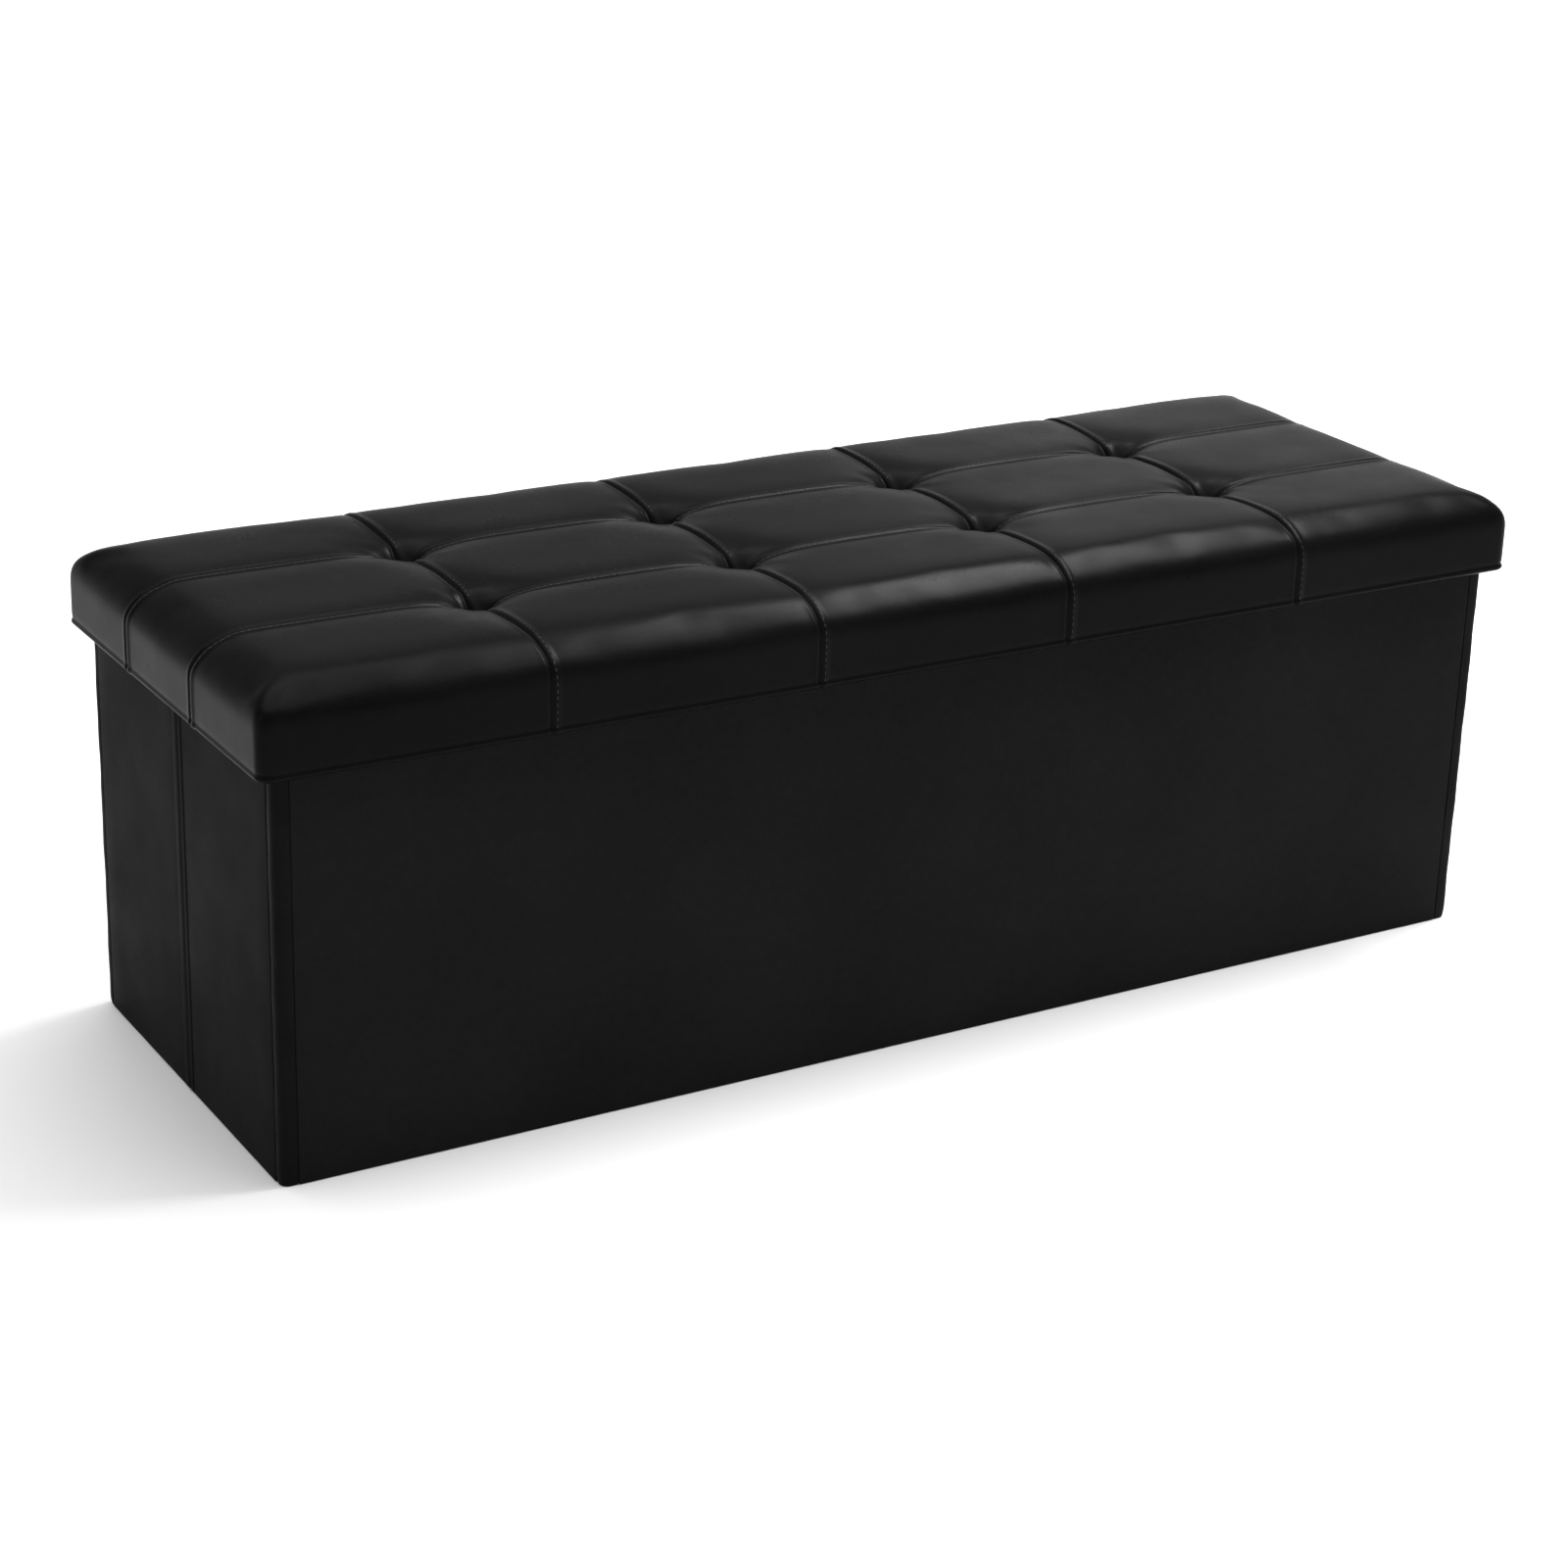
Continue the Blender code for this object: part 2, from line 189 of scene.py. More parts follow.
def leatherette(name, dark, light, smooth, rough, grain, gloss, slackness):
    """Coated cloth: a pebbled grain of small cells, soft tonal drift and uneven polish.

    smooth and rough are the ends of its roughness, grain is a share of the usual relief, gloss
    is the specular level and slackness is the height of its slow waves.
    """
    n = Nodes(name)
    drift = n.noise(5.0, detail=4.0)
    fine = n.noise(160.0, detail=3.0)
    mixed = n.math("ADD", n.math("MULTIPLY", drift, 0.7), n.math("MULTIPLY", fine, 0.3))
    colour = n.ramp(mixed, [(0.30, dark), (0.70, light)])
    smudges = n.noise(14.0, detail=5.0, roughness=0.6)
    roughness = n.remap(smudges, 0.35, 0.70, smooth, rough)
    warp = n.noise(300.0, detail=1.0)
    pebble = n.remap(n.cells(PEBBLE_SCALE), 0.0, 0.28, 0.0, 1.0)
    creases = n.noise(420.0, detail=2.0, roughness=0.6)
    height = n.math("ADD", pebble, n.math("MULTIPLY", creases, 0.6))
    height = n.math("ADD", height, n.math("MULTIPLY", warp, 0.4))
    grained = n.bump(height, GRAIN_RELIEF * grain)
    slack = n.noise(22.0, detail=2.0)
    normal = n.bump(slack, slackness, strength=0.35, under=grained)
    return n.finish(colour, roughness, normal, Specular_IOR_Level=gloss)


LID_LEATHER = leatherette(
    "lid_leatherette",
    (0.0025, 0.0025, 0.0028),
    (0.0045, 0.0045, 0.0049),
    smooth=0.26,
    rough=0.36,
    grain=1.0,
    gloss=0.031,
    slackness=0.0005,
)

WALL_LEATHER = leatherette(
    "wall_leatherette",
    (0.0074, 0.0074, 0.0080),
    (0.0114, 0.0114, 0.0122),
    smooth=0.50,
    rough=0.62,
    grain=1.2,
    gloss=0.011,
    slackness=0.0007,
)

# Corner strip leatherette: its base colour is painted far darker than the walls' as painted shade,
# standing for the shade where the strip curves away from the light
SPINE_LEATHER_PAINTED_SHADE = leatherette(
    "spine_leatherette",
    (0.0008, 0.0008, 0.0009),
    (0.0016, 0.0016, 0.0018),
    smooth=0.55,
    rough=0.70,
    grain=1.4,
    gloss=0.07,
    slackness=0.0007,
)


def nonwoven():
    """Spunbond cloth: matted fibres pressed together at a grid of small dots."""
    n = Nodes("nonwoven_lining")
    fibres = n.noise(900.0, detail=4.0, roughness=0.7, distortion=1.5)
    drift = n.noise(9.0, detail=3.0)
    mixed = n.math("ADD", n.math("MULTIPLY", fibres, 0.6), n.math("MULTIPLY", drift, 0.4))
    colour = n.ramp(mixed, [(0.35, (0.013, 0.013, 0.014)), (0.65, (0.034, 0.034, 0.037))])
    dots = n.cells(420.0, feature="F1", randomness=0.0)
    dots = n.remap(dots, 0.18, 0.34, 0.0, 1.0)
    roughness = n.remap(dots, 0.0, 1.0, 0.62, 0.97)
    height = n.math("ADD", dots, n.math("MULTIPLY", fibres, 0.5))
    return n.finish(colour, roughness, n.bump(height, 0.00018), Sheen_Weight=0.25)


def fibreboard():
    """Pressed wood fibre: brown, flecked, with a faint directionless fuzz."""
    n = Nodes("fibreboard")
    flecks = n.noise(260.0, detail=6.0, roughness=0.75)
    patches = n.noise(18.0, detail=3.0)
    mixed = n.math("ADD", n.math("MULTIPLY", flecks, 0.7), n.math("MULTIPLY", patches, 0.3))
    colour = n.ramp(mixed, [(0.35, (0.18, 0.105, 0.05)), (0.68, (0.42, 0.29, 0.165))])
    roughness = n.remap(flecks, 0.3, 0.7, 0.74, 0.92)
    return n.finish(colour, roughness, n.bump(flecks, 0.00025))


def thread():
    """Twisted bonded thread, a little lighter than the leatherette."""
    n = Nodes("thread")
    twist = n.add(
        "ShaderNodeTexWave",
        {"Vector": n.place, "Scale": 520.0, "Distortion": 1.0},
        bands_direction="DIAGONAL",
    ).outputs["Fac"]
    drift = n.noise(40.0)
    colour = n.ramp(drift, [(0.3, (0.012, 0.012, 0.013)), (0.7, (0.024, 0.024, 0.026))])
    roughness = n.remap(twist, 0.0, 1.0, 0.45, 0.70)
    return n.finish(colour, roughness, n.bump(twist, 0.0001))


def webbing():
    """Woven tape: two crossed rows of ribs."""
    n = Nodes("webbing")
    along = n.add(
        "ShaderNodeTexWave", {"Vector": n.place, "Scale": 260.0}, bands_direction="X"
    ).outputs["Fac"]
    across = n.add(
        "ShaderNodeTexWave", {"Vector": n.place, "Scale": 190.0}, bands_direction="Y"
    ).outputs["Fac"]
    weave = n.math("MULTIPLY", along, across)
    drift = n.noise(60.0)
    colour = n.ramp(drift, [(0.3, (0.014, 0.014, 0.015)), (0.7, (0.030, 0.030, 0.032))])
    roughness = n.remap(weave, 0.0, 1.0, 0.85, 0.60)
    return n.finish(colour, roughness, n.bump(weave, 0.0004))


def staple_steel():
    n = Nodes("staple_steel")
    scratches = n.noise(800.0, detail=2.0)
    colour = n.ramp(scratches, [(0.3, (0.42, 0.42, 0.43)), (0.7, (0.60, 0.60, 0.61))])
    roughness = n.remap(scratches, 0.3, 0.7, 0.28, 0.45)
    return n.finish(colour, roughness, n.bump(scratches, 0.00003), Metallic=1.0)


def moulded_plastic():
    n = Nodes("anchor_plastic")
    speckle = n.noise(600.0, detail=3.0)
    colour = n.ramp(speckle, [(0.3, (0.015, 0.015, 0.016)), (0.7, (0.026, 0.026, 0.028))])
    roughness = n.remap(speckle, 0.3, 0.7, 0.45, 0.60)
    return n.finish(colour, roughness, n.bump(speckle, 0.00006))


NONWOVEN = nonwoven()
FIBREBOARD = fibreboard()
THREAD = thread()
WEBBING = webbing()
STAPLE_STEEL = staple_steel()
PLASTIC = moulded_plastic()

CAD_LOOKS = {
    "lid_leatherette": LID_LEATHER,
    "wall_leatherette": WALL_LEATHER,
    "spine_leatherette": SPINE_LEATHER_PAINTED_SHADE,
    "nonwoven_lining": NONWOVEN,
    "fibreboard": FIBREBOARD,
    "foam": NONWOVEN,
    "twine": THREAD,
    "anchor_plastic": PLASTIC,
}


def dress_cad_nodes():
    """Every node of the frame takes the procedural look of its own material slot."""
    for subpart in frame["record"]["subparts"]:
        mesh = frame["nodes"][subpart["node"]].data
        mesh.materials.clear()
        mesh.materials.append(CAD_LOOKS[subpart["material_slot"]])


# ---------------------------------------------------------------- mesh helpers

def new_object(name, mesh, material):
    obj = bpy.data.objects.new(name, mesh)
    bpy.context.scene.collection.objects.link(obj)
    mesh.materials.append(material)
    return obj


def mesh_from(name, points, faces, smooth=True):
    mesh = bpy.data.meshes.new(name)
    mesh.from_pydata([tuple(p) for p in points], [], faces)
    if smooth:
        mesh.shade_smooth()
    mesh.update()
    return mesh


def apply_modifiers(obj):
    graph = bpy.context.evaluated_depsgraph_get()
    mesh = bpy.data.meshes.new_from_object(obj.evaluated_get(graph))
    old = obj.data
    obj.modifiers.clear()
    obj.data = mesh
    bpy.data.meshes.remove(old)


def subdivide(obj):
    modifier = obj.modifiers.new("smooth", "SUBSURF")
    modifier.levels = 1
    modifier.render_levels = 1
    apply_modifiers(obj)
    obj.data.shade_smooth()


def coordinates(mesh):
    values = np.empty(len(mesh.vertices) * 3)
    mesh.vertices.foreach_get("co", values)
    return values.reshape(-1, 3)


def normals(mesh):
    values = np.empty(len(mesh.vertices) * 3)
    mesh.vertex_normals.foreach_get("vector", values)
    return values.reshape(-1, 3)


def set_coordinates(mesh, points):
    mesh.vertices.foreach_set("co", np.ascontiguousarray(points, dtype=np.float32).ravel())
    mesh.update()


def face_outwards(mesh):
    """Turns every face of a closed mesh to look outwards."""
    work = bmesh.new()
    work.from_mesh(mesh)
    bmesh.ops.recalc_face_normals(work, faces=work.faces)
    work.to_mesh(mesh)
    work.free()


def spaced(low, high, step):
    """Evenly spaced values from low to high, about a step apart."""
    count = max(1, round((high - low) / step))
    return [low + (high - low) * n / count for n in range(count + 1)]


def merged_lines(values):
    """Sorted grid lines without near doubles."""
    lines = sorted(values)
    kept = [lines[0]]
    for value in lines[1:]:
        if value - kept[-1] > 1e-5:
            kept.append(value)
    return kept


def rounding(radius, height):
    """How far in a rounded end stands, at a height above its tip."""
    return radius - math.sqrt(radius**2 - (radius - min(height, radius)) ** 2)


# ---------------------------------------------------------------- lid cushion

# The grid: the width of the border outside its flat middle, the spacing of its lines, and the
# extra lines beside each seam
EDGE_INSET = 0.034
GRID_STEP = 0.0068
SEAM_LINES = (0.0015, 0.0035, 0.0065, 0.0100, 0.0140)

# The rim: the radius of its roll, how many rows go round it and how round it is, the radius of
# the upright corners, the rows' spacing down the face, the hem, and the rim's spare thickness
EDGE_RADIUS = 0.025
ROLL_STEPS = 10
ROLL_POWER = 0.9
LID_CORNER = 0.010
FACE_STEP = 0.006
HEM_HEIGHT = 0.0080
LIP_SPARE = 0.0024

# The stuffed top: how far it swells, how deep a seam lies under that, how wide its valley is,
# how far from a tuft it is pulled fully down, and where the swell fades towards the rim
CROWN = 0.0032
SEAM_HEIGHT = 0.0027
VALLEY_WIDTH = 0.013
PULL_REACH = 0.060
RIM_FADE = 0.060

# Each tuft: its depth, and the (share, radius, power) of its hollow and of the dip around it
TUFT_DEPTH = 0.0175
HOLLOW = (0.94, 0.0130, 2.3)
DIP = (0.06, 0.026, 1.6)

# Pleats round each tuft: waves round the tuft, height, and distance and width of their ring
PLEAT_WAVES = (5, 7, 9)
PLEAT_HEIGHT = 0.00022
PLEAT_RING = (0.020, 0.014)

# Across a seam, the (height, place, width, power) of the sewn groove, of the folded allowance
# that pads one side and of the plain side
GROOVE = (-0.00135, 0.0, 0.0013, 2.0)
ALLOWANCE = (0.00075, 0.0042, 0.0026, 3.0)
PLAIN_SIDE = (0.00030, -0.0030, 0.0020, 2.0)

# The stuffing: the cloth's settings, its frames, the most that a point may move, the radius
# held at each tuft, the height above the foam's underside where the rim is let go, and how
# often the movement is averaged
CLOTH = {
    "quality": 5,
    "mass": 0.30,
    "tension_stiffness": 25.0,
    "compression_stiffness": 12.0,
    "shear_stiffness": 8.0,
    "bending_stiffness": 0.6,
    "use_pressure": True,
    "uniform_pressure_force": 5.0,
    "shrink_min": -0.006,
    "vertex_group_mass": "held",
    "pin_stiffness": 1.0,
}
CLOTH_FRAMES = 20
CLOTH_CAP = 0.0032
HELD_RADIUS = 0.003
HELD_RIM = 0.012
EVENING_ROUNDS = 5

# Heights: the foot of the rim's roll, above which every point is on the outside, and above
# which there are pleats
ROLL_BOTTOM = TOP - CROWN - EDGE_RADIUS
SHOWS_ABOVE = 0.350
PLEATS_ABOVE = 0.362


def grid_lines(half, seams):
    """Lines across the flat middle of the top, closer together beside each seam."""
    marks = [-half] + seams + [half]
    beside = SEAM_LINES[-1]
    lines = []
    for left, right in zip(marks, marks[1:]):
        low = left + (beside if left in seams else 0.0)
        high = right - (beside if right in seams else 0.0)
        lines += spaced(low, high, GRID_STEP)
    for seam in seams:
        lines.append(seam)
        lines += [seam + side * offset for side in (-1, 1) for offset in SEAM_LINES]
    return merged_lines(lines)


def lid_profile():
    """From the flat top outwards: (distance out, height, corner radius) down to the hem's end."""
    rows = [(out, TOP - CROWN, min(out, LID_CORNER)) for out in (0.0, 0.0045)]
    for step in range(ROLL_STEPS + 1):
        angle = math.pi / 2 * step / ROLL_STEPS
        out = EDGE_INSET - EDGE_RADIUS * (1 - math.sin(angle) ** ROLL_POWER)
        height = TOP - CROWN - EDGE_RADIUS * (1 - math.cos(angle) ** ROLL_POWER)
        rows.append((out, height, min(out, LID_CORNER)))
    for height in spaced(LID_BOTTOM + HEM_HEIGHT, ROLL_BOTTOM, FACE_STEP)[-2::-1]:
        rows.append((EDGE_INSET, height, LID_CORNER))
    for proud, rise in ((-0.0005, 0.0066), (0.0, 0.0052), (0.0006, 0.0038), (0.0004, 0.0024)):
        rows.append((EDGE_INSET + proud, LID_BOTTOM + rise, LID_CORNER))
    lip = RIM_THICKNESS + LIP_SPARE
    turned = (
        (0.0006, 0.0014),
        (0.0022, 0.0002),
        (0.0048, 0.0),
        (lip - 0.0020, 0.0002),
        (lip - 0.0005, 0.0012),
        (lip, 0.0032),
        (lip, 0.0120),
        (lip, 0.0220),
        (lip, 0.0255),
        (lip - 0.0010, 0.0262),
        (lip - 0.0010, 0.0282),
    )
    for inward, rise in turned:
        radius = max(LID_CORNER - inward, 0.002)
        rows.append((EDGE_INSET - inward, LID_BOTTOM + rise, radius))
    return rows


def corner_point(kx, ky, row):
    """A grid line turns each corner as a straight run and an arc. Returns its two offsets."""
    out, _, radius = row
    straight = out - radius
    length = straight + radius * math.pi / 4
    along = min(kx, ky) / max(kx, ky) * length
    if along <= straight or radius == 0.0:
        near, far = along, out
    else:
        angle = (along - straight) / radius
        near = straight + radius * math.sin(angle)
        far = straight + radius * math.cos(angle)
    return (near, far) if ky >= kx else (far, near)


def lid_surface():
    """The lid's undented skin: its grid of points, its faces and how many columns it has."""
    rows = lid_profile()
    count = len(rows) - 1
    lines_x = grid_lines(LENGTH / 2 - EDGE_INSET, SEAMS_X)
    lines_y = grid_lines(DEPTH / 2 - EDGE_INSET, SEAMS_Y)

    def split(index, lines):
        """Side (-1, 0, 1), how many rows beyond the flat middle, and the nearest line."""
        if index < count:
            return -1, count - index, lines[0]
        if index >= count + len(lines):
            return 1, index - count - len(lines) + 1, lines[-1]
        return 0, 0, lines[index - count]

    width = len(lines_x) + 2 * count
    height = len(lines_y) + 2 * count
    points = []
    for j in range(height):
        side_y, ky, y = split(j, lines_y)
        for i in range(width):
            side_x, kx, x = split(i, lines_x)
            row = rows[max(kx, ky)]
            if kx and ky:
                out_x, out_y = corner_point(kx, ky, row)
            else:
                out_x = row[0] if kx else 0.0
                out_y = row[0] if ky else 0.0
            points.append((x + side_x * out_x, y + side_y * out_y, row[1]))
    faces = []
    for j in range(height - 1):
        for i in range(width - 1):
            first = j * width + i
            faces.append((first, first + 1, first + width + 1, first + width))
    return np.array(points), faces, width


def close_border(obj):
    """Fills the one open rim of a mesh with flat triangles."""
    mesh = bmesh.new()
    mesh.from_mesh(obj.data)
    rim = [edge for edge in mesh.edges if edge.is_boundary]
    made = bmesh.ops.contextual_create(mesh, geom=rim)["faces"]
    bmesh.ops.triangulate(mesh, faces=made)
    bmesh.ops.recalc_face_normals(mesh, faces=mesh.faces)
    mesh.to_mesh(obj.data)
    mesh.free()


def bell(distance, width, power=2.0):
    return np.exp(-((np.abs(distance) / width) ** power))


def nearest(values, marks):
    """Signed distance of each value from its nearest mark."""
    offsets = values[:, None] - np.array(marks)[None, :]
    index = np.abs(offsets).argmin(axis=1)
    return offsets[np.arange(len(values)), index]


def panel_shape(rest):
    """How far the stuffed top stands above (+) or below (-) the undented skin."""
    x, y = rest[:, 0], rest[:, 1]
    from_x = nearest(x, SEAMS_X)
    from_y = nearest(y, SEAMS_Y)
    tuft_distance = np.hypot(from_x, from_y)
    inside_x = 1 - np.clip((np.abs(x) - (LENGTH / 2 - RIM_FADE)) / RIM_FADE, 0, 1) ** 2
    inside_y = 1 - np.clip((np.abs(y) - (DEPTH / 2 - RIM_FADE)) / RIM_FADE, 0, 1) ** 2
    inside = inside_x * inside_y
    hollow, dip = (
        share * bell(tuft_distance, radius, power) for share, radius, power in (HOLLOW, DIP)
    )
    dent = (TUFT_DEPTH - SEAM_HEIGHT + CROWN) * (hollow + dip)
    pull = 0.45 + 0.55 * bell(tuft_distance, PULL_REACH)
    valley_x, valley_y = (
        SEAM_HEIGHT * bell(offset, VALLEY_WIDTH, 1.4) * pull for offset in (from_x, from_y)
    )
    valley = np.maximum(valley_x, valley_y)
    return (CROWN - valley) * inside - dent


def pleats(rest, seed=4):
    """Small folds that fan out of each tuft."""
    generator = np.random.default_rng(seed)
    ring_distance, ring_width = PLEAT_RING
    lift = np.zeros(len(rest))
    for x, y in TUFTS:
        dx, dy = rest[:, 0] - x, rest[:, 1] - y
        distance = np.hypot(dx, dy)
        angle = np.arctan2(dy, dx)
        envelope = bell(distance - ring_distance, ring_width)
        for waves in PLEAT_WAVES:
            phase, weight = generator.uniform(0, 2 * math.pi), generator.uniform(0.4, 1.0)
            lift += PLEAT_HEIGHT * weight * envelope * np.cos(waves * angle + phase)
    return lift


def seam_relief(rest):
    """The narrow groove of each sewn seam and the folded allowance that pads one side of it."""
    x, y = rest[:, 0], rest[:, 1]
    relief = np.zeros(len(rest))
    on_end = np.abs(x) > LENGTH / 2 - 0.004
    on_side = np.abs(y) > DEPTH / 2 - 0.004
    for offset, elsewhere in ((nearest(x, SEAMS_X), on_end), (-nearest(y, SEAMS_Y), on_side)):
        profile = sum(
            height * bell(offset - place, width, power)
            for height, place, width, power in (GROOVE, ALLOWANCE, PLAIN_SIDE)
        )
        relief += np.where(elsewhere, 0.0, profile)
    return relief


def evened(moved, columns, rounds):
    """Averages a movement over neighbouring grid points, which takes out its smallest ripples."""
    grid = moved.reshape(-1, columns, 3)
    for _ in range(rounds):
        padded = np.pad(grid, ((1, 1), (1, 1), (0, 0)), mode="edge")
        around = padded[:-2, 1:-1] + padded[2:, 1:-1] + padded[1:-1, :-2] + padded[1:-1, 2:]
        grid = 0.5 * grid + 0.125 * around
    return grid.reshape(-1, 3)


def inflate(obj, held, columns):
    """Cloth pressure stuffs the panels between their pinned tufts and hem."""
    group = obj.vertex_groups.new(name="held")
    for index, weight in enumerate(held):
        if weight > 0.0:
            group.add([index], float(weight), "REPLACE")
    cloth = obj.modifiers.new("stuffing", "CLOTH")
    for name, value in CLOTH.items():
        setattr(cloth.settings, name, value)
    cloth.settings.effector_weights.gravity = 0.0
    cloth.collision_settings.use_collision = False
    cloth.collision_settings.use_self_collision = False
    cloth.point_cache.frame_start = 1
    cloth.point_cache.frame_end = CLOTH_FRAMES
    before = coordinates(obj.data)
    for number in range(1, CLOTH_FRAMES + 1):
        bpy.context.scene.frame_set(number)
    apply_modifiers(obj)
    bpy.context.scene.frame_set(1)
    moved = evened(coordinates(obj.data) - before, columns, EVENING_ROUNDS)
    size = np.linalg.norm(moved, axis=1, keepdims=True)
    limit = CLOTH_CAP * np.tanh(size / CLOTH_CAP) / np.maximum(size, 1e-9)
    set_coordinates(obj.data, before + moved * limit)


def lid_cushion():
    """The whole lid above its lining, as one stuffed and sewn form."""
    points, faces, columns = lid_surface()
    shaped = points.copy()
    on_top = points[:, 2] > ROLL_BOTTOM
    fade = np.clip((points[:, 2] - ROLL_BOTTOM) / EDGE_RADIUS, 0, 1)
    shaped[:, 2] += np.where(on_top, panel_shape(points) * fade, 0.0)
    mesh = mesh_from("lid_cushion", shaped, faces)
    obj = new_object("lid_cushion", mesh, LID_LEATHER)
    attribute = mesh.attributes.new("rest", "FLOAT_VECTOR", "POINT")
    attribute.data.foreach_set("vector", points.astype(np.float32).ravel())
    distance = np.min([np.hypot(points[:, 0] - x, points[:, 1] - y) for x, y in TUFTS], axis=0)
    held = np.clip(1.0 - (distance - HELD_RADIUS) / HELD_RADIUS, 0, 1) * on_top
    held_rim = np.clip((FOAM_LOW.z + HELD_RIM - points[:, 2]) / 0.010, 0, 1)
    inflate(obj, np.maximum(held, held_rim), columns)
    subdivide(obj)
    rest = np.empty(len(obj.data.vertices) * 3)
    obj.data.attributes["rest"].data.foreach_get("vector", rest)
    rest = rest.reshape(-1, 3)
    past_face = np.maximum(np.abs(rest[:, 0]) - LENGTH / 2, np.abs(rest[:, 1]) - DEPTH / 2)
    on_show = (past_face > -0.0025) | (rest[:, 2] > SHOWS_ABOVE)
    outside = np.clip((rest[:, 2] - LID_BOTTOM - 0.0005) / 0.001, 0, 1) * on_show
    top_only = np.clip((rest[:, 2] - PLEATS_ABOVE) / 0.008, 0, 1)
    lift = seam_relief(rest) * outside + pleats(rest) * top_only
    placed = coordinates(obj.data) + normals(obj.data) * lift[:, None]
    set_coordinates(obj.data, placed)
    close_border(obj)
    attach(obj, "lid")
    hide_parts("lid_cover", "lid_foam", "lid_board", *RIMS)
    return obj


# ---------------------------------------------------------------- box fabric

# Corner bindings: the height of the rounded foot and the share of it that shows, and the same
# for the head
FOOT_RADIUS = 0.0085
FOOT_SHARE = 0.12
HEAD_RADIUS = 0.003
HEAD_SHARE = 0.4

# Wall panels: the radius of their rims and upright edges, the gap that is left to the lining,
# how far an outer face may stand out, and how near to it a point counts as on it
PANEL_SOFT = 0.0016
PANEL_CORNER = 0.0014
PANEL_GAP = 0.0008
PANEL_SLACK = 0.00016
ON_FACE = 1e-3

# Fold welts: half of the places across a welt, and its lower and upper end
WELT_STEPS = (0.0006, 0.0011, 0.0016, 0.0022, 0.0029, 0.0038, 0.0050, 0.0066, 0.0080)
WELT_ENDS = (0.003, 0.3145)

# Inside corner strips: the distance of their turn from the corner, its radius, and their ends
COVE_INSET = 0.0035
COVE_RADIUS = 0.0030
COVE_ENDS = (0.026, 0.337)


def rounded_outline(low, high, radii, steps=5):
    """A rectangle in plan with its own radius at each corner, anticlockwise from the low corner."""
    corners = (
        (low[0], low[1], 1, 1, math.pi),
        (high[0], low[1], -1, 1, 1.5 * math.pi),
        (high[0], high[1], -1, -1, 0.0),
        (low[0], high[1], 1, -1, 0.5 * math.pi),
    )
    outline = []
    for (x, y, side_x, side_y, start), radius in zip(corners, radii):
        centre_x, centre_y = x + side_x * radius, y + side_y * radius
        for step in range(steps + 1):
            angle = start + math.pi / 2 * step / steps
            outline.append(
                (centre_x + radius * math.cos(angle), centre_y + radius * math.sin(angle))
            )
    return outline


def loft(rings):
    """Faces between successive rings of equal length, with flat ends."""
    count = len(rings[0])
    points = [point for ring in rings for point in ring]
    faces = []
    for level in range(len(rings) - 1):
        for n in range(count):
            a = level * count + n
            b = level * count + (n + 1) % count
            faces.append((a, b, b + count, a + count))
    faces.append(tuple(reversed(range(count))))
    faces.append(tuple(range(len(points) - count, len(points))))
    return points, faces


def corner_binding(name, side_x, side_y, body, spine):
    """Fabric wrapped round the end of a long wall, with soft edges and slightly uneven tension, in
    leatherette whose darker colour is painted shade.
    """
    levels = [0.0, 0.0006, 0.0016, 0.0032, 0.0055, 0.0085] + spaced(0.013, 0.331, 0.012)
    levels += [WALL_TOP - inset for inset in (0.0060, 0.0030, 0.0012, 0.0004, 0.0)]
    rings = []
    for z in levels:
        foot = rounding(FOOT_RADIUS, z) * FOOT_SHARE
        head = HEAD_SHARE * rounding(HEAD_RADIUS, WALL_TOP - z)
        slack = 0.00012 * (math.sin(z * 61.0 + side_x) + math.sin(z * 143.0 + side_y)) - 0.00024
        outer = foot + head - min(slack, 0.0)
        low = (-BOX_X + outer, -BOX_Y + outer)
        high = (-BOX_X + SPINE_WIDTH, -INNER_Y - head * 0.5)
        ring = rounded_outline(low, high, (0.0060, 0.0004, 0.0012, 0.0022))
        placed = [(-side_x * x, -side_y * y, z) for x, y in ring]
        rings.append(placed if side_x * side_y > 0 else placed[::-1])
    points, faces = loft(rings)
    obj = new_object(name, mesh_from(name, points, faces), SPINE_LEATHER_PAINTED_SHADE)
    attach(obj, body)
    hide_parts(spine)


def strip_mesh(name, path, levels, thickness, ripple=0.0):
    """A closed band of cloth: a path in plan raised through the levels, as thick as given."""
    count = len(path)
    rings = []
    for z in levels:
        outer, inner = [], []
        for n, (x, y) in enumerate(path):
            ahead, behind = path[min(n + 1, count - 1)], path[max(n - 1, 0)]
            along = Vector((ahead[0] - behind[0], ahead[1] - behind[1])).normalized()
            normal = Vector((along.y, -along.x))
            edge = min(n, count - 1 - n)
            half = thickness / 2 * (0.35 + 0.65 * min(edge / 2, 1.0))
            wave = ripple * math.sin(z * 170.0 + n) * min(edge / 3, 1.0)
            outer.append((x + normal.x * (half + wave), y + normal.y * (half + wave), z))
            inner.append((x - normal.x * (half - wave), y - normal.y * (half - wave), z))
        rings.append(outer + inner[::-1])
    mesh = mesh_from(name, *loft(rings))
    face_outwards(mesh)
    return mesh


def panel_outline(low, high, radius, step=0.02):
    """A rectangle in plan with small round corners and points all along its sides."""
    corners = rounded_outline(low, high, (radius,) * 4, steps=4)
    outline = []
    for (ax, ay), (bx, by) in zip(corners, corners[1:] + corners[:1]):
        outline.append((ax, ay))
        length = math.hypot(bx - ax, by - ay)
        for n in range(1, max(1, round(length / step))):
            t = n / max(1, round(length / step))
            outline.append((ax + (bx - ax) * t, ay + (by - ay) * t))
    return outline


